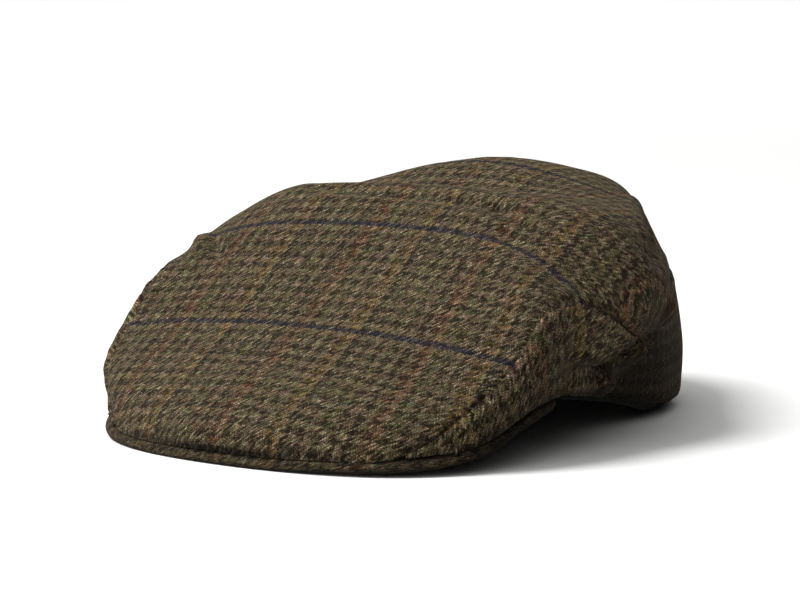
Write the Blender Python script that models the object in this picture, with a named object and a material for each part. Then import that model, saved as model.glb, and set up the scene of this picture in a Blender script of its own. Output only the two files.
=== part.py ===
"""Tweed flat cap at rest: crown of three cloth panels, a short stiff peak and a sweatband.

Metres, +Z up, peak toward -Y, wearer's left toward +X, floor at z = 0.
Angles round the crown are 0 at the front, 90 at the wearer's left and 180 at the back.
"""
import math

import bpy
import numpy as np
from mathutils import Vector

for thing in list(bpy.data.objects):
    bpy.data.objects.remove(thing)

# Sizes in metres, angles in degrees.
HEAD_WIDTH = 0.168
HEAD_LENGTH = 0.208

# How far the slack crown stands out past the head opening.
CROWN_OVERHANG_SIDE = 0.021
CROWN_OVERHANG_FRONT = 0.048
CROWN_OVERHANG_BACK = 0.008
CROWN_WIDTH = HEAD_WIDTH + 2 * CROWN_OVERHANG_SIDE
CROWN_LENGTH = HEAD_LENGTH + CROWN_OVERHANG_FRONT + CROWN_OVERHANG_BACK
CROWN_HEIGHT = 0.105
HEAD_BACK_SET = (CROWN_OVERHANG_FRONT - CROWN_OVERHANG_BACK) / 2

# The peak's outer edge is half an oval, a little narrower than the crown.
PEAK_SIDE_INSET = 0.006
PEAK_FRONT_PROUD = 0.003
PEAK_WIDTH = CROWN_WIDTH - 2 * PEAK_SIDE_INSET
PEAK_REACH = 0.075
PEAK_CORNER_SHARE = 0.055
PEAK_CENTRE_FORWARD = CROWN_LENGTH / 2 + PEAK_FRONT_PROUD - PEAK_REACH
PEAK_THICKNESS = 0.0042
PEAK_TIP_THICKNESS = 0.0024
PEAK_ROOT_HEIGHT = 0.020
PEAK_ROOT_SHARE = 0.33
PEAK_TIP_ANGLE = 124.0
PEAK_TAPER_FROM = 93.0
PEAK_TAPER_SHARE = 0.85
PEAK_THINS_FROM = 80.0
PEAK_THINS_OVER = 40.0
PEAK_LIP = 0.0014

CLOTH = 0.002
SEAM_GAP = 0.0004
BAND_THICKNESS = 0.0012
BAND_SHOWS = 0.0025
BAND_HEIGHT_BACK = 0.030
BAND_HEIGHT_FRONT = 0.020
BAND_LEAN_FRONT = 0.011
BAND_FRONT_ENDS = 110.0
BAND_FRONT_RUN = 90.0
RIM_ARCH = 0.0175

HALF_WIDTH = CROWN_WIDTH / 2
HALF_LENGTH = CROWN_LENGTH / 2

# One row per angle. "out" is a share of the crown's half size at that angle and
# "up" a share of CROWN_HEIGHT, from the lower edge to the top of the crown.
SECTIONS = [
    # angle   wall        tuck        fold        brow        shoulder    top
    #        out   up    out   up    out   up    out   up    out   up    out   up
    (0,     1.015, .090, .995, .155, .880, .248, .670, .400, .450, .571, .300, .690),
    (25,    1.045, .090, 1.03, .155, .910, .257, .690, .410, .470, .575, .310, .700),
    (40,    1.085, .110, 1.07, .190, .980, .276, .780, .400, .530, .562, .340, .715),
    (56,    1.090, .171, 1.10, .238, 1.09, .314, 1.03, .381, .830, .500, .400, .745),
    (65,    1.040, .257, 1.055, .343, 1.05, .438, 1.04, .543, .890, .645, .460, .775),
    (75,    .910,  .250, .900, .350, .985, .285, 1.03, .420, .990, .620, .520, .820),
    (90,    .815,  .200, .790, .430, .910, .340, 1.03, .460, .955, .750, .600, .890),
    (105,   .850,  .160, .830, .470, .905, .390, .985, .520, .925, .765, .620, .905),
    (120,   .905,  .170, .880, .500, .905, .450, .900, .600, .865, .770, .600, .915),
    (135,   .955,  .190, .930, .520, .900, .560, .845, .700, .810, .830, .570, .945),
    (150,   .985,  .190, .990, .457, .935, .610, .885, .740, .805, .890, .550, .980),
    (180,   .990,  .171, 1.012, .400, .985, .620, .945, .743, .870, .895, .500, .990),
]
CENTRE_OUT_SHARE = 0.15
CENTRE_UP_SHARE = 0.93

# The front slopes up as one plane from its foot, and meets the nearly level top.
# The shares are of CROWN_HEIGHT.
FRONT_FOOT_SHARE = 0.060
FRONT_SLOPE = 0.75
TOP_LEVEL_SHARE = 0.940
SIDE_FALL_SHARE = 0.130
BACK_FALL_SHARE = 0.030
ROUNDING_SHARE = 0.045

# The sections hand over to that front and top from this step on.
TOP_FROM_STEP_FRONT = 3.2
TOP_FROM_STEP_SIDE = 4.8
TOP_BLEND_STEPS = 1.5
TOP_TURNS_FROM = 42.0
TOP_TURNS_OVER = 30.0

# Section steps run from the lower edge, 0, to the crown's centre.
LAST_STEP = 8.0

# How the head opening's edge lifts off the floor toward the front, as shares of RIM_ARCH.
RIM_LIFT = [
    # angle, lift
    (0, 1.0), (52, 1.0), (70, 0.88), (87, 0.62), (100, 0.32), (113, 0.12), (130, 0.03),
    (150, 0.0), (180, 0.0),
]

# Where the seam between top and side panels runs, in steps of the section columns
# (0 = lower edge, 1 = wall, 2 = tuck, 3 = fold, 4 = brow, 5 = shoulder).
SEAM_PATH = [
    (37, 0.3), (44, 1.3), (50, 2.5), (56, 3.5), (65, 4.2), (72, 4.6), (78, 4.5),
    (84, 3.9), (90, 3.2), (100, 2.6), (120, 2.4), (135, 2.5), (150, 2.8), (180, 3.0),
]
SEAM_START = 37.0

# Dents and humps of the top: place and sizes as shares of the crown's half width
# (across), half length (along), and lift as a share of CROWN_HEIGHT.
TOP_SHAPES = [
    # name                     across  along  wide  long  turn   lift
    ("valley across the top",   -0.05,  0.19, 0.80, 0.13,  0.0, -0.085),
    ("hump at the back",         0.02,  0.50, 0.56, 0.26,  0.0,  0.060),
    ("right front corner",      -0.60,  0.10, 0.22, 0.18,  0.0,  0.020),
    ("left shoulder",            0.55,  0.25, 0.22, 0.22,  0.0,  0.030),
    ("left back slack",          0.52,  0.55, 0.30, 0.30,  0.0, -0.080),
]

# Folds of the sides: place by angle and section step, push as a share of half width.
SIDE_SHAPES = [
    # name                      angle  step  wide   tall   push
    ("sag over the left side",   97.0,  4.2,  14.0,  1.2,  0.020),
    ("pull at the left seam",    80.0,  3.9,   6.0,  1.2, -0.020),
    ("slack right front corner", -50.0, 2.6,  16.0,  1.5,  0.030),
    ("left wall bulge",         136.0,  0.6,  18.0,  1.2,  0.032),
    ("hollow behind the sag",   116.0,  4.6,  13.0,  0.8, -0.045),
    ("bump on the right seam",  -76.0,  4.9,   8.0,  0.9,  0.050),
    ("pucker behind the bump",  -91.0,  5.3,   7.0,  0.9, -0.022),
    ("slack right side",        -60.0,  2.2,  12.0,  1.0,  0.018),
]

# Height of the peak's outer edge by angle (negative on the wearer's right), as a share
# of PEAK_ROOT_HEIGHT.
PEAK_LIFT = [
    # angle, lift
    (-130, 0.85), (-110, 0.80), (-95, 0.70), (-83, 0.50), (-65, 0.175), (-45, 0.04), (-30, 0.0),
    (0, 0.0), (12, 0.0), (22, 0.04), (35, 0.06), (45, 0.09), (65, 0.30), (83, 0.80), (95, 0.98),
    (110, 1.0), (130, 1.0),
]

RING_ANGLES = [
    0, 6, 12, 18, 24, 30, 34, 37, 40, 43, 46, 49, 52, 55, 58, 61, 64, 68, 72, 76, 80, 84, 88,
    93, 98, 104, 110, 117, 124, 131, 138, 145, 152, 159, 166, 173, 180,
]
TOP_RINGS = 15
SIDE_ROWS = 10
PEAK_COLUMNS = 44
PEAK_ROWS = 6
BAND_COLUMNS = 64
BAND_ROWS = 2

# Section steps either side of a place when a direction is read off the crown.
READING_STEP = 0.05

TWEED_COLOUR = (0.115, 0.100, 0.060, 1.0)
BAND_COLOUR = (0.016, 0.022, 0.018, 1.0)


def curve_through(table, x):
    """Smooth curve through (place, value) rows, flat beyond both ends."""
    px = np.array([row[0] for row in table], float)
    py = np.array([row[1] for row in table], float)
    slope = np.gradient(py, px)
    x = np.clip(np.asarray(x, float), px[0], px[-1])
    i = np.clip(np.searchsorted(px, x, side="right") - 1, 0, len(px) - 2)
    h = px[i + 1] - px[i]
    u = (x - px[i]) / h
    return ((1 + 2 * u) * (1 - u) ** 2 * py[i] + u * (1 - u) ** 2 * h * slope[i]
            + u * u * (3 - 2 * u) * py[i + 1] + u * u * (u - 1) * h * slope[i + 1])


def ease(x):
    x = np.clip(x, 0.0, 1.0)
    return x * x * (3 - 2 * x)


def head_rim_arch(turn):
    """Height of the sweatband's lower edge above the floor; turn is 0 at the front."""
    return RIM_ARCH * np.maximum(curve_through(RIM_LIFT, np.abs(turn)), 0)


def peak_corner(angle):
    """The peak's oval reaches a little further at its two front corners."""
    a = np.radians(np.clip(angle, -90, 90))
    return 1 + PEAK_CORNER_SHARE * np.sin(2 * a) ** 2 * np.cos(a)


def peak_angle_and_share(x, y):
    """Angle round the peak's centre, and distance as a share of the way to its edge."""
    across = np.asarray(x) / (PEAK_WIDTH / 2)
    forward = -(np.asarray(y) + PEAK_CENTRE_FORWARD) / PEAK_REACH
    angle = np.degrees(np.arctan2(across, forward))
    return angle, np.hypot(across, forward) / peak_corner(angle)


def peak_root_share(angle):
    """Share of the way to the peak's edge at which it meets the head opening."""
    a = np.radians(angle)
    across = PEAK_WIDTH / 2 * np.sin(a) / (HEAD_WIDTH / 2 - CLOTH)
    forward = -PEAK_REACH * np.cos(a) / (HEAD_LENGTH / 2 - CLOTH)
    offset = (-PEAK_CENTRE_FORWARD - HEAD_BACK_SET) / (HEAD_LENGTH / 2 - CLOTH)
    qa = across ** 2 + forward ** 2
    qb = 2 * forward * offset
    qc = offset ** 2 - 1
    return (-qb + np.sqrt(qb * qb - 4 * qa * qc)) / (2 * qa) / peak_corner(angle)


def peak_edge_share(angle):
    """The peak's edge curves in to the head opening near its tips."""
    taper = ease((np.abs(angle) - PEAK_TAPER_FROM) / (PEAK_TIP_ANGLE - PEAK_TAPER_FROM))
    return 1 - PEAK_TAPER_SHARE * taper * (1 - peak_root_share(angle))


def peak_underside(x, y):
    angle, share = peak_angle_and_share(x, y)
    edge = curve_through(PEAK_LIFT, angle) * PEAK_ROOT_HEIGHT
    return edge + (PEAK_ROOT_HEIGHT - edge) * (1 - share) / (1 - PEAK_ROOT_SHARE)


def peak_thickness(angle):
    thinning = ease((np.abs(angle) - PEAK_THINS_FROM) / PEAK_THINS_OVER)
    return PEAK_THICKNESS + (PEAK_TIP_THICKNESS - PEAK_THICKNESS) * thinning


def peak_upper(x, y):
    angle, _ = peak_angle_and_share(x, y)
    return peak_underside(x, y) + peak_thickness(angle)


def lower_edge_table():
    """Crown's lower edge as angle, share of half size and height, all the way round."""
    rows = []
    for hand in (-1, 1):
        for angle in range(0 if hand > 0 else 4, 113, 4):
            a = math.radians(angle)
            corner = peak_corner(angle)
            x = hand * (PEAK_WIDTH / 2 - PEAK_LIP) * corner * math.sin(a)
            y = -PEAK_CENTRE_FORWARD - (PEAK_REACH - PEAK_LIP) * corner * math.cos(a)
            rows.append((x, y, float(peak_upper(x, y)) + SEAM_GAP))
        for turn in range(84, 181 if hand > 0 else 175, 6):
            a = math.radians(turn)
            x = hand * HEAD_WIDTH / 2 * math.sin(a)
            y = HEAD_BACK_SET - HEAD_LENGTH / 2 * math.cos(a)
            rows.append((x, y, float(head_rim_arch(turn)) + BAND_SHOWS))
    x, y, z = np.array(rows).T
    place = np.degrees(np.arctan2(x / HALF_WIDTH, -y / HALF_LENGTH))
    share = np.hypot(x / HALF_WIDTH, y / HALF_LENGTH)
    order = np.argsort(place)
    fine = np.arange(-190.0, 190.5, 0.5)
    window = np.hanning(15)
    window /= window.sum()
    share = np.interp(fine, place[order], share[order], period=360)
    height = np.interp(fine, place[order], z[order], period=360)
    share = np.convolve(share, window, "same")
    height = np.convolve(height, window, "same")
    keep = np.abs(fine) <= 180
    return fine[keep], share[keep], height[keep]


EDGE_ANGLE, EDGE_OUT, EDGE_HEIGHT = lower_edge_table()


def section_controls(angle):
    """Control points (share out, height) for each angle, lower edge to past the centre."""
    side = 180 - np.abs(180 - np.abs(angle) % 360)
    columns = np.array([row[1:] for row in SECTIONS], float)
    places = [row[0] for row in SECTIONS]
    mirrored = [-p for p in places[1:]][::-1] + places + [360 - p for p in places[:-1]][::-1]
    values = np.concatenate([columns[1:][::-1], columns, columns[:-1][::-1]])
    read = [curve_through(list(zip(mirrored, values[:, c])), side) for c in range(12)]
    wrapped = (angle + 180) % 360 - 180
    edge_out = np.interp(wrapped, EDGE_ANGLE, EDGE_OUT)
    edge_up = np.interp(wrapped, EDGE_ANGLE, EDGE_HEIGHT)
    outs = [edge_out] + [read[c] for c in range(0, 12, 2)]
    ups = [edge_up] + [read[c] * CROWN_HEIGHT for c in range(1, 12, 2)]
    outs += [np.full_like(side, CENTRE_OUT_SHARE), np.zeros_like(side), np.full_like(side, -CENTRE_OUT_SHARE)]
    ups += [np.full_like(side, CENTRE_UP_SHARE * CROWN_HEIGHT)] * 3
    outs = [2 * outs[0] - outs[1]] + outs
    ups = [2 * ups[0] - ups[1]] + ups
    return np.array(outs), np.array(ups)


def top_height(x, y):
    """Height of the crown's front and top over a place in plan."""
    across, along = x / HALF_WIDTH, y / HALF_LENGTH
    front = FRONT_FOOT_SHARE * CROWN_HEIGHT + FRONT_SLOPE * (y + HALF_LENGTH)
    fall = SIDE_FALL_SHARE * across ** 2 + BACK_FALL_SHARE * np.clip(along, 0, 2) ** 2
    top = (TOP_LEVEL_SHARE - fall) * CROWN_HEIGHT
    soft = ROUNDING_SHARE * CROWN_HEIGHT
    height = -soft * np.log(np.exp(-front / soft) + np.exp(-top / soft))
    for _, place_across, place_along, wide, long, turn, lift in TOP_SHAPES:
        c, s = math.cos(math.radians(turn)), math.sin(math.radians(turn))
        dx, dy = across - place_across, along - place_along
        fall = np.exp(-((c * dx + s * dy) / wide) ** 2 - ((c * dy - s * dx) / long) ** 2)
        height += lift * CROWN_HEIGHT * fall
    return height


def crown_point(angle, step):
    """Point of the crown's outer face at an angle and a section step (arrays alike)."""
    angle = np.asarray(angle, float)
    step = np.clip(np.asarray(step, float), 0.0, LAST_STEP)
    outs, ups = section_controls(angle)
    k = np.minimum(step.astype(int), int(LAST_STEP) - 1)
    u = step - k
    weights = [(1 - u) ** 3 / 6, (3 * u ** 3 - 6 * u ** 2 + 4) / 6,
               (-3 * u ** 3 + 3 * u ** 2 + 3 * u + 1) / 6, u ** 3 / 6]
    out = np.zeros_like(step)
    up = np.zeros_like(step)
    for j, weight in enumerate(weights):
        out += weight * np.take_along_axis(outs, (k + j)[None], 0)[0]
        up += weight * np.take_along_axis(ups, (k + j)[None], 0)[0]
    wrapped = (angle + 180) % 360 - 180
    for _, place, level, wide, tall, push in SIDE_SHAPES:
        fall = np.exp(-((wrapped - place) / wide) ** 2 - ((step - level) / tall) ** 2)
        out += push * fall
    a = np.radians(angle)
    x = out * HALF_WIDTH * np.sin(a)
    y = -out * HALF_LENGTH * np.cos(a)
    turned = ease((np.abs(wrapped) - TOP_TURNS_FROM) / TOP_TURNS_OVER)
    starts = TOP_FROM_STEP_FRONT + (TOP_FROM_STEP_SIDE - TOP_FROM_STEP_FRONT) * turned
    on_top = ease((step - starts) / TOP_BLEND_STEPS)
    up += (top_height(x, y) - up) * on_top
    return np.stack([x, y, up], -1)


def crown_outward(angle, step):
    """Outward direction of the crown's outer face."""
    low = np.clip(step - READING_STEP, 0, LAST_STEP)
    high = np.clip(step + READING_STEP, 0, LAST_STEP)
    along = crown_point(angle, high) - crown_point(angle, low)
    around = crown_point(angle + 0.5, step) - crown_point(angle - 0.5, step)
    outward = np.cross(around, along)
    return outward / np.linalg.norm(outward, axis=-1, keepdims=True)


def seam_step(angle):
    side = 180 - np.abs(180 - np.abs(angle) % 360)
    return np.where(side < SEAM_START, 0.0, curve_through(SEAM_PATH, side))


def seam_inset(angle):
    """Section steps that leave half a seam gap on one side of the seam, square to it."""
    step = seam_step(angle)
    low = np.clip(step - READING_STEP, 0, LAST_STEP)
    high = np.clip(step + READING_STEP, 0, LAST_STEP)
    up = crown_point(angle, high) - crown_point(angle, low)
    per_step = np.linalg.norm(up, axis=-1) / (high - low)
    up /= np.linalg.norm(up, axis=-1, keepdims=True)
    ahead, behind = angle + 1, angle - 1
    run = crown_point(ahead, seam_step(ahead)) - crown_point(behind, seam_step(behind))
    run /= np.linalg.norm(run, axis=-1, keepdims=True)
    square = np.linalg.norm(np.cross(run, up), axis=-1)
    return SEAM_GAP / 2 / per_step / np.clip(square, 0.3, 1.0)


def clear_of_peak(points):
    """Raise points that would come closer to the peak than the seam gap."""
    points = points.copy()
    x, y, z = points[..., 0], points[..., 1], points[..., 2]
    angle, share = peak_angle_and_share(x, y)
    over = (share < peak_edge_share(angle) + 0.02) & (np.abs(angle) < PEAK_TIP_ANGLE + 3)
    need = peak_upper(x, y) + SEAM_GAP
    points[..., 2] = np.where(over & (z < need), need, z)
    return points


def both_faces(angle, step):
    outer = crown_point(angle, step)
    inner = outer - crown_outward(angle, step) * CLOTH
    return clear_of_peak(outer), clear_of_peak(inner)


def cloth_colour(name, colour, roughness):
    material = bpy.data.materials.new(name)
    material.use_nodes = True
    shader = material.node_tree.nodes["Principled BSDF"]
    shader.inputs["Base Color"].default_value = colour
    shader.inputs["Roughness"].default_value = roughness
    shader.inputs["Metallic"].default_value = 0.0
    return material


def add_solid(name, points, faces, material):
    mesh = bpy.data.meshes.new(name)
    mesh.from_pydata([tuple(p) for p in points], [], faces)
    mesh.materials.append(material)
    mesh.validate()
    piece = bpy.data.objects.new(name, mesh)
    bpy.context.scene.collection.objects.link(piece)
    return piece


def wall_faces(a, b, count, points):
    """Two triangles of a cut edge; its diagonal starts at the outer point nearer the front."""
    if points[a][1] <= points[b][1]:
        return [(b, a, count + b), (a, count + a, count + b)]
    return [(b, a, count + a), (b, count + a, count + b)]


def sheet_solid(name, outer, inner, material):
    """Closed solid between two equal grids of points."""
    rows, columns = outer.shape[:2]
    count = rows * columns
    points = np.concatenate([outer.reshape(-1, 3), inner.reshape(-1, 3)])
    faces = []
    for r in range(rows - 1):
        for c in range(columns - 1):
            a, b = r * columns + c, r * columns + c + 1
            d, e = a + columns, b + columns
            faces.append((a, b, e, d))
            faces.append((count + a, count + d, count + e, count + b))
    border = [c for c in range(columns)]
    border += [r * columns + columns - 1 for r in range(1, rows)]
    border += [(rows - 1) * columns + c for c in range(columns - 2, -1, -1)]
    border += [r * columns for r in range(rows - 2, 0, -1)]
    for a, b in zip(border, border[1:] + border[:1]):
        faces += wall_faces(a, b, count, points)
    return add_solid(name, points, faces, material)


def build_top_panel(material):
    half = RING_ANGLES[1:-1]
    angles = np.array([0] + half + [180] + [360 - a for a in half[::-1]], float)
    start = seam_step(angles)
    on_seam = start > 0
    start = start + on_seam * seam_inset(angles)
    spread = np.linspace(0, 1, TOP_RINGS + 1)[:-1]
    step = start[None, :] + (LAST_STEP - start[None, :]) * spread[:, None]
    outer, inner = both_faces(np.broadcast_to(angles, step.shape).copy(), step)
    top = outer[-1].mean(0)
    below = inner[-1].mean(0)
    columns = len(angles)
    count = TOP_RINGS * columns
    points = np.concatenate([outer.reshape(-1, 3), [top], inner.reshape(-1, 3), [below]])
    faces = []
    for r in range(TOP_RINGS - 1):
        for c in range(columns):
            a, b = r * columns + c, r * columns + (c + 1) % columns
            d, e = a + columns, b + columns
            faces.append((a, b, e, d))
            faces.append((count + 1 + a, count + 1 + d, count + 1 + e, count + 1 + b))
    last = (TOP_RINGS - 1) * columns
    for c in range(columns):
        a, b = last + c, last + (c + 1) % columns
        faces.append((a, b, count))
        faces.append((count + 1 + b, count + 1 + a, 2 * count + 1))
        faces += wall_faces(c, (c + 1) % columns, count + 1, points)
    return add_solid("top_panel", points, faces, material)


def build_side_panel(name, hand, material):
    angles = np.array([a for a in RING_ANGLES if a >= SEAM_START], float)
    angles[-1] -= math.degrees(SEAM_GAP / 2 / HALF_LENGTH)
    top_step = seam_step(angles)
    top_step = top_step - seam_inset(hand * angles)
    spread = np.linspace(0, 1, SIDE_ROWS + 1)
    step = top_step[None, :] * spread[:, None]
    outer, inner = both_faces(hand * np.broadcast_to(angles, step.shape), step)
    if hand < 0:
        outer, inner = outer[:, ::-1], inner[:, ::-1]
    return sheet_solid(name, outer, inner, material)


def build_peak(material):
    """Crescent between the peak's edge and the head opening, with a bevelled edge."""
    angles = np.linspace(-PEAK_TIP_ANGLE, PEAK_TIP_ANGLE, PEAK_COLUMNS + 1)
    a = np.radians(angles)
    across = PEAK_WIDTH / 2 * peak_corner(angles) * np.sin(a)
    forward = -PEAK_REACH * peak_corner(angles) * np.cos(a)
    edge_share = peak_edge_share(angles)
    bevel = edge_share - 0.012
    rows = np.linspace(0, 1, PEAK_ROWS + 1)
    share = bevel + (peak_root_share(angles) - bevel) * rows[:, None]
    x = share * across
    y = share * forward - PEAK_CENTRE_FORWARD
    thick = np.broadcast_to(peak_thickness(angles), x.shape)
    lower = np.stack([x, y, peak_underside(x, y)], -1)
    upper = lower + np.stack([0 * x, 0 * x, thick], -1)
    rim_x, rim_y = edge_share * across, edge_share * forward - PEAK_CENTRE_FORWARD
    rim = np.stack([rim_x, rim_y, peak_underside(rim_x, rim_y) + thick[0] / 2], -1)
    upper = np.concatenate([rim[None], upper])
    lower = np.concatenate([rim[None], lower])
    columns = len(angles)
    rows = upper.shape[0]
    count = rows * columns
    lower_start = count - columns
    points = np.concatenate([upper.reshape(-1, 3), lower[1:].reshape(-1, 3)])
    faces = []

    def low(r, c):
        return c if r == 0 else lower_start + r * columns + c

    for r in range(rows - 1):
        for c in range(columns - 1):
            u = r * columns + c
            faces.append((u, u + 1, u + 1 + columns, u + columns))
            faces.append((low(r, c), low(r + 1, c), low(r + 1, c + 1), low(r, c + 1)))
    for c in range(columns - 1):
        u = (rows - 1) * columns + c
        faces.append((u, u + 1, low(rows - 1, c + 1), low(rows - 1, c)))
    for c in (0, columns - 1):
        for r in range(rows - 1):
            quad = [r * columns + c, (r + 1) * columns + c, low(r + 1, c), low(r, c)]
            quad = list(dict.fromkeys(quad))
            faces.append(tuple(quad if c == 0 else quad[::-1]))
    return add_solid("peak", points, faces, material)


def build_sweatband(material):
    turn = np.linspace(0, 360, BAND_COLUMNS, endpoint=False)
    side = 180 - np.abs(180 - turn)
    a = np.radians(turn)
    front = ease((BAND_FRONT_ENDS - side) / BAND_FRONT_RUN)
    bottom = head_rim_arch(side)
    height = BAND_HEIGHT_BACK + (BAND_HEIGHT_FRONT - BAND_HEIGHT_BACK) * front
    rings = []
    levels = np.linspace(0, 1, BAND_ROWS + 1)
    for inset, order in ((CLOTH + SEAM_GAP, levels), (CLOTH + SEAM_GAP + BAND_THICKNESS, levels[::-1])):
        for level in order:
            lean = BAND_LEAN_FRONT * front * level
            x = (HEAD_WIDTH / 2 - inset) * np.sin(a)
            y = HEAD_BACK_SET - (HEAD_LENGTH / 2 - inset) * np.cos(a) + lean
            rings.append(np.stack([x, y, bottom + height * level], -1))
    points = np.concatenate(rings)
    faces = []
    loops = len(rings)
    for i in range(loops):
        j = (i + 1) % loops
        for c in range(BAND_COLUMNS):
            d = (c + 1) % BAND_COLUMNS
            n = BAND_COLUMNS
            faces.append((i * n + c, i * n + d, j * n + d, j * n + c))
    return add_solid("sweatband", points, faces, material)


TWEED = cloth_colour("tweed", TWEED_COLOUR, 0.95)
BAND = cloth_colour("sweatband", BAND_COLOUR, 0.8)

PIECES = [
    build_top_panel(TWEED),
    build_side_panel("side_panel_left", 1.0, TWEED),
    build_side_panel("side_panel_right", -1.0, TWEED),
    build_peak(TWEED),
    build_sweatband(BAND),
]
LOW = np.min([np.min([v.co[:] for v in p.data.vertices], axis=0) for p in PIECES], axis=0)
HIGH = np.max([np.max([v.co[:] for v in p.data.vertices], axis=0) for p in PIECES], axis=0)
SHIFT = -np.array([(LOW[0] + HIGH[0]) / 2, (LOW[1] + HIGH[1]) / 2, LOW[2]])
for piece in PIECES:
    for vertex in piece.data.vertices:
        vertex.co += Vector(SHIFT)
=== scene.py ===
"""Looks of the tweed flat cap: cloth panels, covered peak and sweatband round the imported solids."""
import math

import bmesh
import bpy
import numpy as np
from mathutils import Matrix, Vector, noise
from mathutils.bvhtree import BVHTree
from mathutils.kdtree import KDTree


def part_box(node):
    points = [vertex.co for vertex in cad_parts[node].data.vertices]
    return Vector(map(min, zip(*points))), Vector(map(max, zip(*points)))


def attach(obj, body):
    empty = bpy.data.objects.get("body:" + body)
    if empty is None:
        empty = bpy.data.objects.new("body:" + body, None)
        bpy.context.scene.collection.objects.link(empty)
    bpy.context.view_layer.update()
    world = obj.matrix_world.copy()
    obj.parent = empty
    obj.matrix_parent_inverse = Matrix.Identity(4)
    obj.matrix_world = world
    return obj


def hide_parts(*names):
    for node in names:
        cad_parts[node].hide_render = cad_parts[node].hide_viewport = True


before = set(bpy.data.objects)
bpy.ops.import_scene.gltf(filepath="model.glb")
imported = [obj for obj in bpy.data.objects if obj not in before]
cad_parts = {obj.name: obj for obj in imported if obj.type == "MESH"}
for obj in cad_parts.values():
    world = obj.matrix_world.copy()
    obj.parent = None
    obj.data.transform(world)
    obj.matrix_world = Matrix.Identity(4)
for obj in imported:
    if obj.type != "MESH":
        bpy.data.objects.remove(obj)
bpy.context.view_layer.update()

MM = 0.001

# The camera looks at the cap's left front corner, from a little above the table.
VIEW_AZIMUTH = 35.0
VIEW_ELEVATION = 7.3
VIEW_DISTANCE = 1.1
VIEW_TARGET = Vector((-0.0076, -0.0044, 0.0458))
LENS = 120.3
SENSOR_WIDTH = 36.0

# Tweed: 2/2 twill, four dark and four light threads a check, each way.
THREAD = 0.78 * MM
CHECK_THREADS = 8
CHECK = CHECK_THREADS * THREAD
CLOTH_THICKNESS = 1.8 * MM

# How the outer face of a solid is told apart and made into quads.
WELD = 0.01 * MM
THROUGH_CLOTH = 2.6 * MM
CUT_EDGE_ANGLE = 48
SMALLEST_EDGE = 0.9 * MM
PANEL_QUAD_ANGLE = 60
SOLID_QUAD_ANGLE = 40
ANY_SHAPE_ANGLE = 180
SEAM_ROWS = 2
ROUNDING = 2
NO_AREA = 1e-12
NO_LENGTH = 1e-6
STEADY = 1e-9

# Where the weave starts: a navy row crosses the middle of the top panel here.
STRIPE_CROSSING = (0.0, -0.077, 0.047)
STRIPE_SHIFT = -0.05 * CHECK
# The side panels' navy row would lie this far above the hem at the centre back, past their seam.
BACK_HEM = (0.0, 0.13, 0.0)
STRIPE_ABOVE_HEM = 60 * MM
# Edge points this near the top panel are on the seam, and those this near the middle on the back seam.
SEAM_REACH = 2.5 * MM
BACK_SEAM_REACH = 4 * MM

# Along every seam the edge turns in, closes on its neighbour, and puffs up and puckers beside it.
SEAM_ROLL = 1.0 * MM
SEAM_ROLL_WIDTH = 1.3 * MM
SEAM_CLOSE = 0.5 * MM
SEAM_CLOSE_WIDTH = 1.5 * MM
SEAM_PUFF = 0.35 * MM
SEAM_PUFF_PLACE = 3.5 * MM
SEAM_PUFF_WIDTH = 2.5 * MM
PUCKER = 0.22 * MM
PUCKER_LENGTH = 9 * MM
PUCKER_REACH = 7 * MM
PUCKER_START = 2 * MM
PUCKER_WANDER = 2.5
PUCKER_WANDER_SIZE = 30 * MM

# Away from the seams the cloth is a little slack, in broad and in small waves.
SLACK = 0.45 * MM
SLACK_SIZE = 21 * MM
FINE_SLACK = 0.4 * SLACK
FINE_SLACK_SIZE = 8 * MM
NOISE_STEPS = (7.3, 3.1, 5.7)

# Level folds are pushed straight away from an upright line this far behind the cap's middle.
HEAD_MIDDLE = 20 * MM

# Soft lines pressed into the cloth, in millimetres; a negative depth is a ridge.
FOLDS = [
    # name,                    from x, y, z,      to x, y, z,      width, depth, way
    ("crease in the valley",   -45, -9, 93,       44, -14, 92,     4.5, 2.4, "face"),
    ("soft valley behind it",  -50, 8, 95,        52, 14, 95,      9, 1.2, "face"),
    ("pucker at the shoulder", 44, -14, 92,       66, -22, 83,     3.5, 2.4, "face"),
    ("crease down the side",   58, -28, 82,       88, -37, 67,     3.5, 2.0, "face"),
    ("plump side of crease",   62, -44, 74,       84, -52, 62,     8, -1.0, "face"),
    ("roll above the notch",   62, 66, 88,        90, 30, 86,      7, -3.4, "face"),
    ("notch at the rim",       70, 66, 74,        98, 18, 72,      4.5, 3.4, "face"),
    ("dark pucker right side", -79, -38, 73,      -69, -47, 69,    3, 2.8, "face"),
    ("ridge of the bump",      -89, -33, 70,      -82, -41, 72,    4.5, -3.2, "face"),
    ("fullness of the side",   94, -30, 34,       93, 6, 38,       13, -4.0, "level"),
    ("roll of the sag, front", 94, -34, 22,       90, -10, 25,     6.5, -6.3, "level"),
    ("roll of the sag, back",  90, -10, 25,       88, 16, 33,      6.5, -7.8, "level"),
    ("roll of the sag, top",   88, 16, 33,        97, 27, 50,      6.5, -6.0, "level"),
    ("fold under it, front",   90, -28, 15,       83, 4, 18,       5, 1.2, "level"),
    ("fold under it, back",    83, 4, 18,         84, 42, 44,      6, 1.6, "level"),
    ("soft dent at the back",  60, 90, 40,        20, 118, 36,     12, 1.0, "face"),
    ("foot of the back wall",  84, 50, 5,         70, 92, 5,       8, -2.4, "level"),
]

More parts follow.
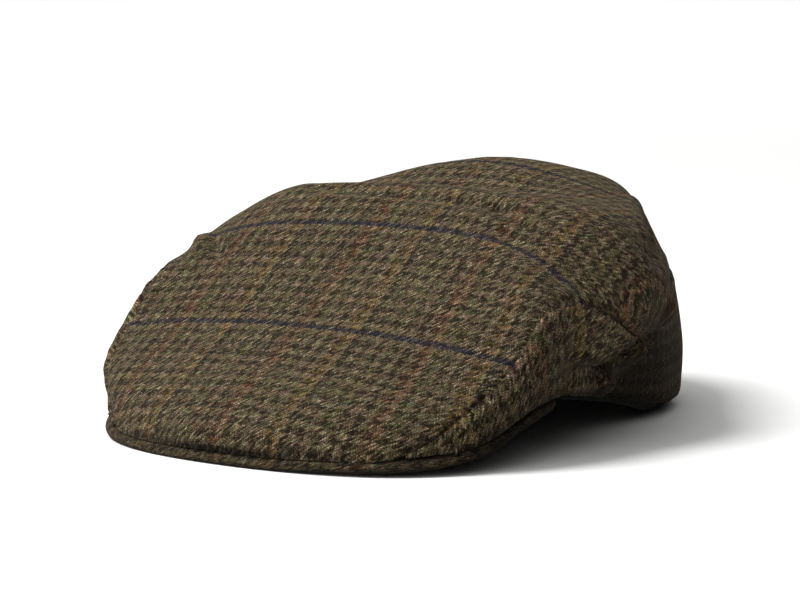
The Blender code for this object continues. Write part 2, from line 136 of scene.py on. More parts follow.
# Painted shade along lines where the cloth lies in shadow, in millimetres; a share below 0 is painted
# light.
PAINTED_SHADE_LINES = [
    # name,                   from x, y, z,    to x, y, z,      width, share
    ("foot of the wall",      88, -26, 12,     82, 30, 16,      8, 0.55),
    ("wall behind it",        82, 30, 20,      76, 70, 26,      16, 0.62),
    ("up under the sag",      84, 44, 28,      90, 44, 44,      8, 0.3),
    ("under the roll, front", 98, -21, 21,     97, -12, 28,     4.5, 0.55),
    ("under the roll, back",  97, -12, 28,     95, 12, 30,      5, 0.5),
    ("side below the corner", 92, -62, 50,     92, -56, 64,     14, 0.1),
    ("face of the sag",       103, -36, 40,    104, -14, 44,    13, -0.55),
]
# Painted shade on the peak's lip, where it lies in shadow under the crown's edge.
PEAK_PAINTED_SHADE_LINES = [
    ("lip before the corner", 70, -112, 8,     95, -84, 13,     9, 0.3),
    ("lip past the corner",   96, -80, 14,     99, -36, 23,     9, 0.38),
]
# Limits of the painted light (below 0) and of the painted shade (above 0).
MOST_PAINTED_LIGHT = -0.55
MOST_PAINTED_SHADE = 0.68

# The peak and the sweatband, rounded, are let down on the table over this height.
SETTLE_REACH = 8 * MM
PEAK_LIP_WRAP = 3.2 * MM
PEAK_CLOTH_START = 20 * MM
PEAK_FAN_BACK = 10 * MM
RIB = 1.1 * MM

# Wool yarns of the tweed, dyed in the fleece and spun from mixed fibres.
YARNS = {
    "fawn": "#6A5A42",
    "stone": "#614F39",
    "moss": "#595A2F",
    "rust": "#7E4A2A",
    "mustard": "#8A6C30",
    "brown": "#301F0C",
    "bottle": "#222818",
    "navy": "#1C1D3C",
}
PALE_HAIR = "#A99B81"
LOOSE_FIBRE = "#D8CBB0"

# Flecks of brighter wool gather in these columns and rows, one entry per check.
COLUMN_FLECKS = ["moss", "fawn", "fawn", "mustard", "bottle", "fawn", "moss", "stone", "brown", "rust"]
ROW_FLECKS = ["fawn", "brown", "stone", "moss", "fawn", "stone", "brown", "bottle", "stone"]
FLECK_SHARE = 0.85

# Two navy rows, three threads wide, come back after this many checks, the second so many after the first.
STRIPE_REPEAT = 21
STRIPE_STEP = 9

# The wool's unevenness: wanders in threads, waves of noise per thread, and shares.
YARN_DRIFT = 0.75
DRIFT_WAVES = 0.4
SLUB_WAVES = 0.45
PATCH_WAVES = 0.35
TINT_WAVES = 0.22
ALONG_FIBRE = 0.7
ACROSS_FIBRE = 3.4
ALONG_HAIR = 0.22
ACROSS_HAIR = 1.15
HAIR_TURN = -45
PALE_ABOVE = 0.78
PALE_RANGE = 0.2
TINT_SHARE = 0.65
CHECK_DEPTH = 0.44
# Painted shade leaves the wool no darker than this share.
DARKEST_PAINTED_SHADE = 0.15
BUMP_DEPTH = 0.22 * MM

# How far each cause lightens or darkens the yarn: its gain, and what is added.
SHADES = {
    "fibre": (1.0, 0.17),
    "crossing": (0.4, 0.8),
    "slub": (0.9, 0.45),
    "hair": (2.6, -0.53),
    "ground": (CHECK_DEPTH, 1.0 - 0.5 * CHECK_DEPTH),
    # The thread's height darkens the grooves between the threads: painted shade.
    "height": (0.75, 0.4),
}

FLOOR_REACH = 60.0


def mesh_object(name, mesh):
    piece = bpy.data.objects.new(name, mesh)
    bpy.context.scene.collection.objects.link(piece)
    return piece


def tie(piece, node):
    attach(piece, "root")
    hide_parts(node)


def points_and_normals(mesh):
    count = len(mesh.vertices)
    place, normal = np.zeros(count * 3), np.zeros(count * 3)
    mesh.vertices.foreach_get("co", place)
    mesh.vertices.foreach_get("normal", normal)
    return place.reshape(-1, 3), normal.reshape(-1, 3)


# The outer face of a panel's solid

def face_groups(faces):
    """Groups of faces joined by shared edges, with each group's area, largest first."""
    left, groups = set(faces), []
    while left:
        group, queue = set(), [left.pop()]
        while queue:
            face = queue.pop()
            group.add(face)
            near = {f for e in face.edges for f in e.link_faces if f in left}
            left -= near
            queue += near
        groups.append((sum(f.calc_area() for f in group), group))
    return sorted(groups, key=lambda row: -row[0])


def cloth_faces(work):
    """Faces with the cloth's other side close behind them: all but the cut edge."""
    solid = BVHTree.FromBMesh(work)
    found = []
    for face in work.faces:
        start = face.calc_center_median() - face.normal * WELD
        depth = solid.ray_cast(start, -face.normal)[3]
        if depth is not None and depth < THROUGH_CLOTH:
            found.append(face)
    return found


def mark_sides(work):
    """Number the faces of the cloth's two sides, 1 for the larger, outer one."""
    side = work.faces.layers.int.new("side")
    both = cloth_faces(work)
    sharp = [e for e in work.edges if e.calc_face_angle(0.0) > math.radians(CUT_EDGE_ANGLE)]
    probe = work.copy()
    probe.edges.ensure_lookup_table()
    bmesh.ops.split_edges(probe, edges=[probe.edges[e.index] for e in sharp])
    probe.faces.ensure_lookup_table()
    groups = face_groups([probe.faces[f.index] for f in both])
    work.faces.ensure_lookup_table()
    for mark, (_, group) in enumerate(groups[:2]):
        for face in group:
            work.faces[face.index][side] = mark + 1
    probe.free()
    return side


def join_quads(work, angle):
    bmesh.ops.join_triangles(work, faces=work.faces, angle_face_threshold=math.radians(angle),
                             angle_shape_threshold=math.radians(ANY_SHAPE_ANGLE))


def outer_sheet(node):
    """The outer face of a cloth panel's solid as quads, open at its cut edge."""
    work = bmesh.new()
    work.from_mesh(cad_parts[node].data)
    bmesh.ops.remove_doubles(work, verts=work.verts, dist=WELD)
    side = mark_sides(work)

    def is_outer(vert):
        area = [sum(f.calc_area() for f in vert.link_faces if f[side] == mark) for mark in (1, 2)]
        return area[0] > area[1]

    outer = {v for v in work.verts if is_outer(v)}
    inside = [f for f in work.faces if not outer.issuperset(f.verts)]
    bmesh.ops.delete(work, geom=inside, context="FACES")
    bmesh.ops.remove_doubles(work, verts=work.verts, dist=SMALLEST_EDGE)
    bmesh.ops.dissolve_degenerate(work, edges=work.edges, dist=SMALLEST_EDGE / 2)
    join_quads(work, PANEL_QUAD_ANGLE)
    main = face_groups(work.faces)[0][1]
    bmesh.ops.delete(work, geom=[f for f in work.faces if f not in main], context="FACES")
    return work


def add_seam_rows(work):
    """Extra rows of faces along the open edge, for the rolled seam."""
    rim = {v for v in work.verts if v.is_boundary}
    crossing = [e for e in work.edges if len(rim.intersection(e.verts)) == 1]
    bmesh.ops.subdivide_edges(work, edges=crossing, cuts=SEAM_ROWS, use_grid_fill=True)


def fine_cloth(work):
    """The mesh after smooth subdivision."""
    mesh = bpy.data.meshes.new("fine")
    work.to_mesh(mesh)
    work.free()
    piece = mesh_object("fine", mesh)
    smooth = piece.modifiers.new("smooth", "SUBSURF")
    smooth.levels = smooth.render_levels = ROUNDING
    smooth.uv_smooth = "PRESERVE_BOUNDARIES"
    smooth.boundary_smooth = "ALL"
    shape = piece.evaluated_get(bpy.context.evaluated_depsgraph_get())
    fine = bpy.data.meshes.new_from_object(shape)
    bpy.data.objects.remove(piece)
    bpy.data.meshes.remove(mesh)
    return fine


# The weave laid on a panel in real lengths

def triangles(face):
    """A face's triangles: corner numbers, how each corner's value tilts a field on it, and its area."""
    spots = [v.co for v in face.verts]
    for a in range(1, len(spots) - 1):
        corners = (0, a, a + 1)
        p = [spots[i] for i in corners]
        normal = (p[1] - p[0]).cross(p[2] - p[0])
        size = normal.length
        if size > NO_AREA:
            normal.normalize()
            tilt = [normal.cross(p[(i + 2) % 3] - p[(i + 1) % 3]) / size for i in range(3)]
            yield [face.verts[i].index for i in corners], tilt, size / 2


def field_from(work, pull, fixed):
    """Values at the sheet's corners whose slope on every face comes nearest to the wanted one."""
    work.verts.index_update()
    count = len(work.verts)
    matrix, wanted = np.zeros((count, count)), np.zeros(count)
    for face, slope in zip(work.faces, pull):
        for index, tilt, area in triangles(face):
            for i in range(3):
                wanted[index[i]] += area * tilt[i].dot(slope)
                for j in range(3):
                    matrix[index[i], index[j]] += area * tilt[i].dot(tilt[j])
    matrix += np.eye(count) * STEADY
    for index, value in fixed.items():
        matrix[index] = 0
        matrix[index, index] = 1
        wanted[index] = value
    return np.linalg.solve(matrix, wanted)


def slopes(work, values):
    """The slope of a field on every face, longer on larger faces."""
    found = []
    for face in work.faces:
        total = Vector()
        for index, tilt, area in triangles(face):
            for i in range(3):
                total += tilt[i] * (values[index[i]] * area)
        found.append(total)
    return found


def write_places(work, across, along, origin, shift):
    """Cloth coordinates in metres: real lengths along the two directions of every face."""
    fixed = {min(work.verts, key=lambda v: (v.co - origin).length).index: 0.0}
    u, v = field_from(work, across, fixed), field_from(work, along, fixed)
    layer = work.loops.layers.uv.new("cloth")
    for face in work.faces:
        for loop in face.loops:
            loop[layer].uv = (u[loop.vert.index], v[loop.vert.index] + shift)


def straight_grain(work):
    """The top panel's grain: its rows run straight across the cap."""
    across, along = [], []
    for face in work.faces:
        row = Vector((1, 0, 0)) - face.normal * face.normal.x
        row = row.normalized() if row.length > NO_LENGTH else Vector((0, 0, 1))
        across.append(row)
        along.append(face.normal.cross(row))
    write_places(work, across, along, Vector(STRIPE_CROSSING), STRIPE_SHIFT)


def grain_round(work):
    """A side panel's grain: its rows run round the head, and up from the hem to the seam."""
    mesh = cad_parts["top_panel"].data
    corners = [v.co.copy() for v in mesh.vertices]
    top = BVHTree.FromPolygons(corners, [list(p.vertices) for p in mesh.polygons])
    fixed = {}
    for vert in work.verts:
        if vert.is_boundary:
            if top.find_nearest(vert.co)[3] < SEAM_REACH:
                fixed[vert.index] = 1.0
            elif abs(vert.co.x) > BACK_SEAM_REACH:
                fixed[vert.index] = 0.0
    level = field_from(work, [Vector()] * len(work.faces), fixed)
    up = [s.normalized() if s.length > NO_AREA else Vector((0, 0, 1)) for s in slopes(work, level)]
    across = [u.cross(f.normal) for u, f in zip(up, work.faces)]
    write_places(work, across, up, Vector(BACK_HEM), -STRIPE_ABOVE_HEM)


# How the sewn cloth lies

def bell(distance, width):
    """1 at no distance, fading over the width."""
    return np.exp(-(distance / width) ** 2)


def smooth_noise(points, size, seed):
    shift = Vector([seed * step for step in NOISE_STEPS])
    return np.array([noise.noise(Vector(p) / size + shift) for p in points])


def way_round(mesh):
    """Points along the sheet's open edge, in order, with the distance walked."""
    work = bmesh.new()
    work.from_mesh(mesh)
    edges = [e for e in work.edges if e.is_boundary]
    start = edges[0].verts[0]
    path, before, here = [start], None, start
    while True:
        ahead = [e.other_vert(here) for e in here.link_edges if e.is_boundary]
        ahead = [v for v in ahead if v is not before]
        before, here = here, ahead[0]
        if here is start:
            break
        path.append(here)
    points = np.array([v.co[:] for v in path])
    work.free()
    steps = np.linalg.norm(np.roll(points, -1, 0) - points, axis=1)
    return points, np.concatenate([[0], np.cumsum(steps)[:-1]])


def nearest_edge(edge, points):
    """For every point, the number of the nearest edge point and how far away it is."""
    tree = KDTree(len(edge))
    for i, p in enumerate(edge):
        tree.insert(p, i)
    tree.balance()
    found = [tree.find(p) for p in points]
    return [f[1] for f in found], np.array([f[2] for f in found])


def edge_outward(edge, points, normals):
    """The direction in the cloth that points out over its edge, at every edge point."""
    ahead = np.roll(edge, -1, 0) - np.roll(edge, 1, 0)
    edge_normal = normals[[np.argmin(((points - p) ** 2).sum(1)) for p in edge]]
    outward = np.cross(ahead, edge_normal)
    outward /= np.linalg.norm(outward, axis=1, keepdims=True)
    return outward * np.sign(((edge - edge.mean(0)) * outward).sum(1).mean())


def seam_push(points, away, along_seam, seed):
    """Lift of every point square to the cloth: puckers, puff and roll of the seams, and slack."""
    wander = PUCKER_WANDER * smooth_noise(points, PUCKER_WANDER_SIZE, seed)
    ripple = np.sin(along_seam / PUCKER_LENGTH * 2 * math.pi + wander)
    push = PUCKER * ripple * bell(away, PUCKER_REACH) * (1 - bell(away, PUCKER_START))
    push += SEAM_PUFF * bell(away - SEAM_PUFF_PLACE, SEAM_PUFF_WIDTH)
    push -= SEAM_ROLL * bell(away, SEAM_ROLL_WIDTH)
    push += SLACK * smooth_noise(points, SLACK_SIZE, seed + 1)
    push += FINE_SLACK * smooth_noise(points, FINE_SLACK_SIZE, seed + 2)
    return push


def near_line(points, ends, width):
    """How near every point is to a line between two places: 1 on it, fading over the width."""
    a, b = np.array(ends[:3]) * MM, np.array(ends[3:]) * MM
    run = b - a
    share = np.clip((points - a) @ run / (run @ run), 0, 1)
    away = np.linalg.norm(points - a - share[:, None] * run, axis=1)
    return bell(away, width * MM)


def fold_push(points, normals):
    """Move of every point by the folds, square to the cloth or level."""
    level = points * [1, 1, 0] - [0, HEAD_MIDDLE, 0]
    level /= np.linalg.norm(level, axis=1, keepdims=True)
    move = np.zeros_like(points)
    for name, *ends, width, depth, way in FOLDS:
        size = depth * MM * near_line(points, ends, width)
        move -= size[:, None] * (level if way == "level" else normals)
    return move


def write_painted_shade(mesh, points, places):
    """Note how much painted shade every point gets, or painted light where the share is below 0."""
    amount = sum(share * near_line(points, ends, width) for name, *ends, width, share in places)
    painted_shade_share = mesh.attributes.new("painted_shade_share", "FLOAT", "POINT")
    painted_shade_share.data.foreach_set("value", np.clip(amount, MOST_PAINTED_LIGHT, MOST_PAINTED_SHADE))


def cloth_panel(name, node, grain, seed):
    """A sewn panel: the solid's outer face as cloth, with rolled edges, puckers and folds."""
    work = outer_sheet(node)
    add_seam_rows(work)
    grain(work)
    mesh = fine_cloth(work)
    points, normals = points_and_normals(mesh)
    edge, walked = way_round(mesh)
    nearest, away = nearest_edge(edge, points)
    folded = fold_push(points, normals)
    push = seam_push(points, away, walked[nearest], seed)
    closing = SEAM_CLOSE * bell(away, SEAM_CLOSE_WIDTH)
    outward = edge_outward(edge, points, normals)[nearest]
    points += folded + push[:, None] * normals + closing[:, None] * outward
    mesh.vertices.foreach_set("co", points.ravel())
    write_painted_shade(mesh, points, PAINTED_SHADE_LINES)
    mesh.shade_smooth()
    mesh.name = name
    piece = mesh_object(name, mesh)
    wall = piece.modifiers.new("thickness", "SOLIDIFY")
    wall.thickness = CLOTH_THICKNESS
    wall.offset = -1
    tie(piece, node)
    return piece


# The stiff peak and the sweatband

def smooth_solid(name, node):
    """A CAD solid as quads, rounded by subdivision, standing on the table."""
    work = bmesh.new()
    work.from_mesh(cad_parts[node].data)
    bmesh.ops.remove_doubles(work, verts=work.verts, dist=WELD)
    join_quads(work, SOLID_QUAD_ANGLE)
    mesh = fine_cloth(work)
    mesh.shade_smooth()
    mesh.name = name
    settle(mesh)
    piece = mesh_object(name, mesh)
    tie(piece, node)
    return piece


def settle(mesh):
    """Lower the underside that the rounding lifted, so that the piece stands on the table again."""
    points, _ = points_and_normals(mesh)
    lift = points[:, 2].min()
    points[:, 2] -= lift * bell(points[:, 2] - lift, SETTLE_REACH)
    mesh.vertices.foreach_set("co", points.ravel())


def lay_cloth(mesh, places):
    """Write the cloth's own coordinates, in metres, at each face corner."""
    corner = np.zeros(len(mesh.loops), int)
    mesh.loops.foreach_get("vertex_index", corner)
    layer = mesh.uv_layers.new(name="cloth")
    layer.data.foreach_set("uv", places[corner].ravel())


def cover_peak(mesh):
    """The cover's cloth runs straight over the peak and wraps round its lip."""
    points, normals = points_and_normals(mesh)
    low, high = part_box("peak")
    outward = points[:, :2] - [0, (low.y + high.y) / 2 + PEAK_FAN_BACK]
    outward /= np.linalg.norm(outward, axis=1, keepdims=True)
    wrapped = PEAK_LIP_WRAP * (1 - normals[:, 2:])
    lay_cloth(mesh, points[:, :2] + outward * wrapped + [0, PEAK_CLOTH_START])
    write_painted_shade(mesh, points, PEAK_PAINTED_SHADE_LINES)


def lay_band(mesh):
    """The band's ribs stand upright all round the head."""
    points, _ = points_and_normals(mesh)
    low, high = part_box("sweatband")
    middle, size = (low + high) / 2, high - low
    turn = np.arctan2((points[:, 0] - middle.x) / size.x, (points[:, 1] - middle.y) / size.y)
    radius = (size.x + size.y) / 4
    lay_cloth(mesh, np.stack([turn * radius, points[:, 2]], 1))


# Materials

def linear(hex_colour):
    """sRGB hex to Blender's linear colour."""
    channels = [int(hex_colour[i:i + 2], 16) / 255 for i in (1, 3, 5)]
    return [c / 12.92 if c <= 0.04045 else ((c + 0.055) / 1.055) ** 2.4 for c in channels] + [1.0]


def add(tree, kind, inputs, out=0, **settings):
    """Add a node and give back one output. Inputs, in order or by place, are values or sockets.

    A Mix node has its share at 0 and its numbers at 2 and 3, with output 0. Vectors are at 4 and 5
    with output 1, and colours at 6 and 7 with output 2.
    """
    node = tree.nodes.new("ShaderNode" + kind)
    for key, value in settings.items():
        setattr(node, key, value)
    placed = inputs if isinstance(inputs, dict) else dict(enumerate(inputs))
    for place, value in placed.items():
        if isinstance(value, bpy.types.NodeSocket):
            tree.links.new(value, node.inputs[place])
        else:
            node.inputs[place].default_value = value
    return node.outputs[out]


def new_finish(name, roughness, sheen=0.0):
    """A matt material; sheen is the light edge that loose fibres give."""
    material = bpy.data.materials.new(name)
    material.use_nodes = True
    tree = material.node_tree
    shader = tree.nodes["Principled BSDF"]
    shader.inputs["Roughness"].default_value = roughness
    shader.inputs["Sheen Weight"].default_value = sheen
    shader.inputs["Sheen Roughness"].default_value = 0.5
    shader.inputs["Specular IOR Level"].default_value = 0.1
    return material, tree, shader


def threads_from(tree):
    """Places in the cloth counted in threads, wandering a little like uneven yarn."""
    place = add(tree, "UVMap", {}, uv_map="cloth")
    threads = add(tree, "VectorMath", {0: place, "Scale": 1 / THREAD}, operation="SCALE")
    drift = add(tree, "TexNoise", {"Vector": threads, "Scale": DRIFT_WAVES, "Detail": 3.0}, "Color")
    drift = add(tree, "VectorMath", (drift, (0.5, 0.5, 0.5)), operation="SUBTRACT")
    drift = add(tree, "VectorMath", {0: drift, "Scale": YARN_DRIFT}, operation="SCALE")
    return add(tree, "VectorMath", (threads, drift), operation="ADD")


def weave(tree, threads):
    """The number of each thread, whether the warp is on top, and how high the top thread stands."""
    places = [add(tree, "SeparateXYZ", {"Vector": threads}, axis) for axis in "XY"]
    warp, weft = [add(tree, "Math", (place,), operation="FLOOR") for place in places]
    in_warp, in_weft = [add(tree, "Math", (place,), operation="FRACT") for place in places]
    step = add(tree, "Math", (warp, weft), operation="SUBTRACT")
    twill = add(tree, "Math", (step, 4.0), operation="FLOORED_MODULO")
    warp_up = add(tree, "Math", (twill, 1.5), operation="LESS_THAN")

    # Each thread is round across, and rises and dips along its float of two crossings.
    warp_start = add(tree, "Math", (1.0, twill), operation="SUBTRACT")
    weft_start = add(tree, "Math", (twill, 2.0), operation="SUBTRACT")
    warp_run = add(tree, "Math", (warp_start, in_weft), operation="ADD")
    weft_run = add(tree, "Math", (weft_start, in_warp), operation="ADD")
    across = add(tree, "Mix", {0: warp_up, 2: in_weft, 3: in_warp})
    run = add(tree, "Mix", {0: warp_up, 2: weft_run, 3: warp_run})
    across_turn = add(tree, "Math", (across, math.pi), operation="MULTIPLY")
    run_turn = add(tree, "Math", (run, math.pi / 2), operation="MULTIPLY")
    round_across = add(tree, "Math", (across_turn,), operation="SINE")
    round_along = add(tree, "Math", (run_turn,), operation="SINE")
    crest = add(tree, "Math", (round_along, 0.55, 0.45), operation="MULTIPLY_ADD")
    height = add(tree, "Math", (round_across, crest), operation="MULTIPLY")
    return warp, weft, warp_up, height


def light_ground(tree, warp, weft, warp_up):
    """1 where the thread on top is in a light group, 0 in a dark one: together, houndstooth."""
    light = []
    for thread in (weft, warp):
        place = add(tree, "Math", (thread, float(CHECK_THREADS)), operation="FLOORED_MODULO")
        light.append(add(tree, "Math", (place, (CHECK_THREADS - 1) / 2), operation="GREATER_THAN"))
    return add(tree, "Mix", {0: warp_up, 2: light[0], 3: light[1]})


def yarn_ramp(tree, thread, bands):
    """Colour of the thread with this number, from a list read round and round, one entry per check."""
    repeat = float(CHECK_THREADS * len(bands))
    place = add(tree, "Math", (thread, repeat), operation="FLOORED_MODULO")
    middle = add(tree, "Math", (place, 0.5), operation="ADD")
    share = add(tree, "Math", (middle, repeat), operation="DIVIDE")
    colour = add(tree, "ValToRGB", {"Fac": share}, "Color")
    ramp = colour.node.color_ramp
    ramp.interpolation = "CONSTANT"
    changes = [n for n, yarn in enumerate(bands) if n == 0 or yarn != bands[n - 1]]
    for n, start in enumerate(changes):
        stop = ramp.elements[n] if n < 2 else ramp.elements.new(start / len(bands))
        stop.position = start / len(bands)
        stop.color = linear(YARNS[bands[start]])
    return colour


def navy_rows(tree, weft, warp_up, patch):
    """Share of navy wool: fainter where a warp thread or a fleck lies over the row."""
    row = add(tree, "Math", (weft, float(CHECK_THREADS * STRIPE_REPEAT)), operation="FLOORED_MODULO")
    first = add(tree, "Math", (row, 2.5), operation="LESS_THAN")
    second = add(tree, "Math", (row, CHECK_THREADS * STRIPE_STEP + 1.0, 1.6), operation="COMPARE")
    either = add(tree, "Math", (first, second), operation="MAXIMUM")
    for cover, loss, clear in ((warp_up, -0.35, 0.95), (patch, -0.35, 1.0)):
        left = add(tree, "Math", (cover, loss, clear), operation="MULTIPLY_ADD")
        either = add(tree, "Math", (either, left), operation="MULTIPLY")
    return either


def painted_shade_factor(tree, painted_light_level):
    """Painted shade: darker where the wool faces down, along the painted shade lines, and over a darker
    copy.
    """
    normal = add(tree, "NewGeometry", {}, "Normal")
    facing = add(tree, "SeparateXYZ", {"Vector": normal}, "Z")
    painted_facing_shade = add(tree, "MapRange", {"Value": facing, "From Min": -0.45, "From Max": 0.3, "To Min": 0.35,
                                     "To Max": 1.0})
    painted_shade_share = add(tree, "Attribute", {}, "Fac", attribute_name="painted_shade_share")
    painted_lit_level = add(tree, "Math", (painted_light_level, painted_shade_share), operation="SUBTRACT")
    painted_lit_level = add(tree, "Math", (painted_lit_level, DARKEST_PAINTED_SHADE), operation="MAXIMUM")
    return add(tree, "Math", (painted_facing_shade, painted_lit_level), operation="MULTIPLY")


def tweed(name, painted_light_level):
    """Woven wool tweed: matt and hairy, with a soft light edge from the loose fibres."""
    material, tree, shader = new_finish(name, 0.95, 0.03)
    threads = threads_from(tree)
    warp, weft, warp_up, height = weave(tree, threads)

    # Fibres lie along the thread that is on top, slubs make it uneven, and no two crossings are alike.
    along_warp = add(tree, "VectorMath", (threads, (ACROSS_FIBRE, ALONG_FIBRE, 1.0)), operation="MULTIPLY")
    along_weft = add(tree, "VectorMath", (threads, (ALONG_FIBRE, ACROSS_FIBRE, 1.0)), operation="MULTIPLY")
    along = add(tree, "Mix", {0: warp_up, 4: along_weft, 5: along_warp}, 1, data_type="VECTOR")
    fibre = add(tree, "TexNoise", {"Vector": along, "Scale": 1.0, "Detail": 3.0}, "Fac")
    slub = add(tree, "TexNoise", {"Vector": threads, "Scale": SLUB_WAVES, "Detail": 3.0}, "Fac")
    number = add(tree, "CombineXYZ", (warp, weft))
    crossing = add(tree, "TexWhiteNoise", {"Vector": number}, "Value", noise_dimensions="2D")

    # A dark or light ground yarn, with patches of brighter flecks in it.
    ground = light_ground(tree, warp, weft, warp_up)
    yarn = add(tree, "Mix", {0: ground, 6: linear(YARNS["brown"]), 7: linear(YARNS["fawn"])}, 2,
               data_type="RGBA")
    from_columns = add(tree, "Math", (warp_up, 0.3, 0.5), operation="MULTIPLY_ADD")
    flecks = add(tree, "Mix", {0: from_columns, 6: yarn_ramp(tree, weft, ROW_FLECKS),
                               7: yarn_ramp(tree, warp, COLUMN_FLECKS)}, 2, data_type="RGBA")
    patch = add(tree, "TexNoise", {"Vector": threads, "Scale": PATCH_WAVES, "Detail": 4.0,
                                   "Roughness": 0.7}, "Fac")
    patch = add(tree, "MapRange", {"Value": patch, "From Min": 0.45, "From Max": 0.58})
    fleck_share = add(tree, "Math", (patch, FLECK_SHARE), operation="MULTIPLY")
    yarn = add(tree, "Mix", {0: fleck_share, 6: yarn, 7: flecks}, 2, data_type="RGBA")
    navy = navy_rows(tree, weft, warp_up, patch)
    yarn = add(tree, "Mix", {0: navy, 6: yarn, 7: linear(YARNS["navy"])}, 2, data_type="RGBA")

    # Pale hairs lie across the weave on the twill's slant, and every fibre has a tint of its own.
    slant = add(tree, "VectorRotate", {"Vector": threads, "Angle": math.radians(HAIR_TURN)},
                rotation_type="Z_AXIS")
    slant = add(tree, "VectorMath", (slant, (ALONG_HAIR, ACROSS_HAIR, 1.0)), operation="MULTIPLY")
    hair = add(tree, "TexNoise", {"Vector": slant, "Scale": 1.0, "Detail": 3.0, "Roughness": 0.6}, "Fac")
    pale = add(tree, "Math", (fibre, 0.5, hair), operation="MULTIPLY_ADD")
    pale = add(tree, "MapRange", {"Value": pale, "From Min": PALE_ABOVE,
                                  "From Max": PALE_ABOVE + PALE_RANGE})
    off_navy = add(tree, "Math", (navy, -0.5, 0.75), operation="MULTIPLY_ADD")
    pale = add(tree, "Math", (pale, off_navy), operation="MULTIPLY")
    yarn = add(tree, "Mix", {0: pale, 6: yarn, 7: linear(PALE_HAIR)}, 2, data_type="RGBA")
    tint = add(tree, "TexNoise", {"Vector": threads, "Scale": TINT_WAVES, "Detail": 6.0,
                                  "Roughness": 0.8}, "Color")
    yarn = add(tree, "Mix", {0: TINT_SHARE, 6: yarn, 7: tint}, 2, data_type="RGBA", blend_type="OVERLAY")

    causes = {"fibre": fibre, "crossing": crossing, "slub": slub, "hair": hair, "ground": ground,
              "height": height}
    # The shade starts from painted shade: wool facing down, the painted shade lines and this copy's level.
    shade = painted_shade_factor(tree, painted_light_level)
    for cause, (gain, base) in SHADES.items():
        part = add(tree, "Math", (causes[cause], gain, base), operation="MULTIPLY_ADD")
        shade = add(tree, "Math", (shade, part), operation="MULTIPLY")
    grey = add(tree, "CombineXYZ", (shade, shade, shade))
    colour = add(tree, "Mix", {0: 1.0, 6: yarn, 7: grey}, 2, data_type="RGBA", blend_type="MULTIPLY")
    tree.links.new(colour, shader.inputs["Base Color"])

    relief = add(tree, "Math", (fibre, 0.6, height), operation="MULTIPLY_ADD")
    bump = add(tree, "Bump", {"Height": relief, "Strength": 0.9, "Distance": BUMP_DEPTH})
    tree.links.new(bump, shader.inputs["Normal"])
    shader.inputs["Sheen Tint"].default_value = linear(LOOSE_FIBRE)
    return material


def grosgrain():
    """Ribbed cotton band, nearly black: close upright ribs, dull along their crowns."""
    material, tree, shader = new_finish("ribbed_cotton_band", 0.8, 0.02)
    place = add(tree, "UVMap", {}, uv_map="cloth")
    ribs = add(tree, "VectorMath", {0: place, "Scale": 1 / RIB}, operation="SCALE")
    across = add(tree, "SeparateXYZ", {"Vector": ribs}, "X")
    turn = add(tree, "Math", (across, 2 * math.pi), operation="MULTIPLY")
    crown = add(tree, "Math", (turn,), operation="SINE")
    fibre = add(tree, "TexNoise", {"Vector": ribs, "Scale": 2.5, "Detail": 3.0}, "Fac")
    height = add(tree, "Math", (fibre, 0.8, crown), operation="MULTIPLY_ADD")
    colour = add(tree, "Mix", {0: fibre, 6: linear("#0A0C08"), 7: linear("#171B14")}, 2, data_type="RGBA")
    bump = add(tree, "Bump", {"Height": height, "Strength": 0.8, "Distance": 0.2 * MM})
    tree.links.new(colour, shader.inputs["Base Color"])
    tree.links.new(bump, shader.inputs["Normal"])
    return material


def pale_paint():
    """Matt painted studio floor: pale, with the faintest mottle."""
    material, tree, shader = new_finish("matt_floor", 0.9)
    mottle = add(tree, "TexNoise", {"Scale": 3.0, "Detail": 2.0}, "Fac")
    colour = add(tree, "Mix", {0: mottle, 6: linear("#D6D6D4"), 7: linear("#DADAD9")}, 2, data_type="RGBA")
    tree.links.new(colour, shader.inputs["Base Color"])
    return material


def dress(pieces, material):
    for piece in pieces:
        piece.data.materials.clear()
        piece.data.materials.append(material)


# The studio

def lay_floor():
    mesh = bpy.data.meshes.new("floor")
    corners = [(x * FLOOR_REACH, y * FLOOR_REACH, 0) for x, y in ((-1, -1), (1, -1), (1, 1), (-1, 1))]
    mesh.from_pydata(corners, [], [(0, 1, 2, 3)])
    mesh.materials.append(pale_paint())
    return mesh_object("floor", mesh)


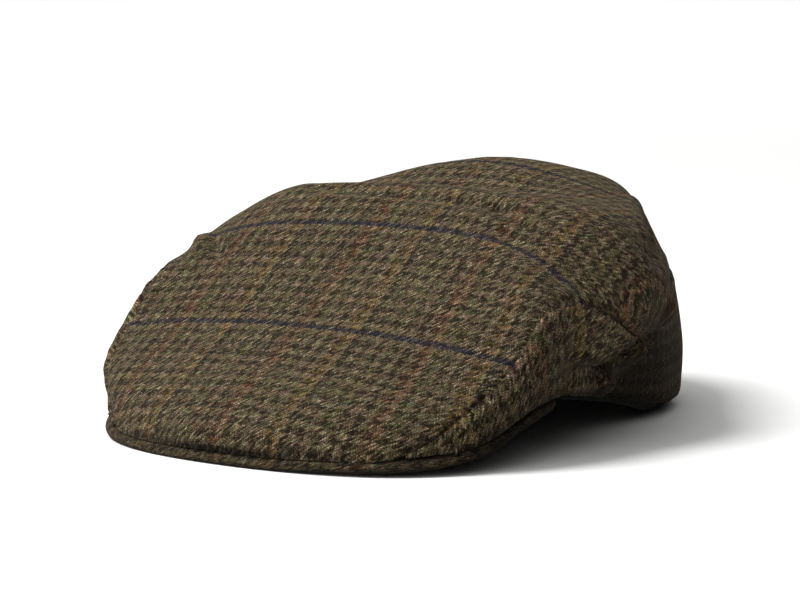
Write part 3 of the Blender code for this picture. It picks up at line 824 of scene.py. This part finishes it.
def stand_camera():
    data = bpy.data.cameras.new("camera")
    data.lens = LENS
    data.sensor_width = SENSOR_WIDTH
    data.clip_start = 0.05
    data.clip_end = 20.0
    camera = bpy.data.objects.new("camera", data)
    bpy.context.scene.collection.objects.link(camera)
    azimuth, elevation = math.radians(VIEW_AZIMUTH), math.radians(VIEW_ELEVATION)
    level = math.cos(elevation)
    back = Vector((math.sin(azimuth) * level, -math.cos(azimuth) * level, math.sin(elevation)))
    camera.location = VIEW_TARGET + back * VIEW_DISTANCE
    camera.rotation_mode = "QUATERNION"
    camera.rotation_quaternion = (-back).to_track_quat("-Z", "Y")
    return camera


def studio_sky():
    """White light from all round, stronger from the upper left front."""
    world = bpy.data.worlds.new("studio")
    world.use_nodes = True
    tree = world.node_tree
    sky = tree.nodes["Background"]
    sky.inputs["Color"].default_value = (1, 1, 1, 1)
    way = add(tree, "TexCoord", {}, "Generated")
    toward = add(tree, "VectorMath", (way, (-0.5, -0.4, 0.77)), "Value", operation="DOT_PRODUCT")
    glow = add(tree, "MapRange", {"Value": toward, "From Min": -0.1, "From Max": 1.0, "To Min": 0.0,
                                  "To Max": 1.6})
    tree.links.new(glow, sky.inputs["Strength"])
    return world


def soft_light(name, place, width, power, aim=VIEW_TARGET):
    data = bpy.data.lights.new(name, "AREA")
    data.shape = "DISK"
    data.size = width
    data.energy = power
    lamp = bpy.data.objects.new(name, data)
    lamp.location = place
    lamp.rotation_mode = "QUATERNION"
    lamp.rotation_quaternion = (Vector(aim) - Vector(place)).to_track_quat("-Z", "Y")
    bpy.context.scene.collection.objects.link(lamp)


top = cloth_panel("top_panel_cloth", "top_panel", straight_grain, 1)
left = cloth_panel("left_side_cloth", "side_panel_left", grain_round, 4)
right = cloth_panel("right_side_cloth", "side_panel_right", grain_round, 7)
peak = smooth_solid("peak_cover", "peak")
band = smooth_solid("sweatband_ribbon", "sweatband")
cover_peak(peak.data)
lay_band(band.data)

# The peak wears a darker copy of the crown's tweed: painted shade.
dress([top, left, right], tweed("woollen_tweed_crown", 1.0))
dress([peak], tweed("woollen_tweed_peak_in_painted_shade", 0.6))
dress([band], grosgrain())

floor = lay_floor()
camera = stand_camera()
bpy.context.scene.camera = camera
bpy.context.scene.world = studio_sky()
bpy.context.scene.view_settings.view_transform = "Standard"
soft_light("key", (-0.75, -0.7, 1.8), 0.9, 52)
soft_light("backdrop", (-3.6, 5.2, 2.5), 3.0, 1000, (-4.2, 6.0, 0))
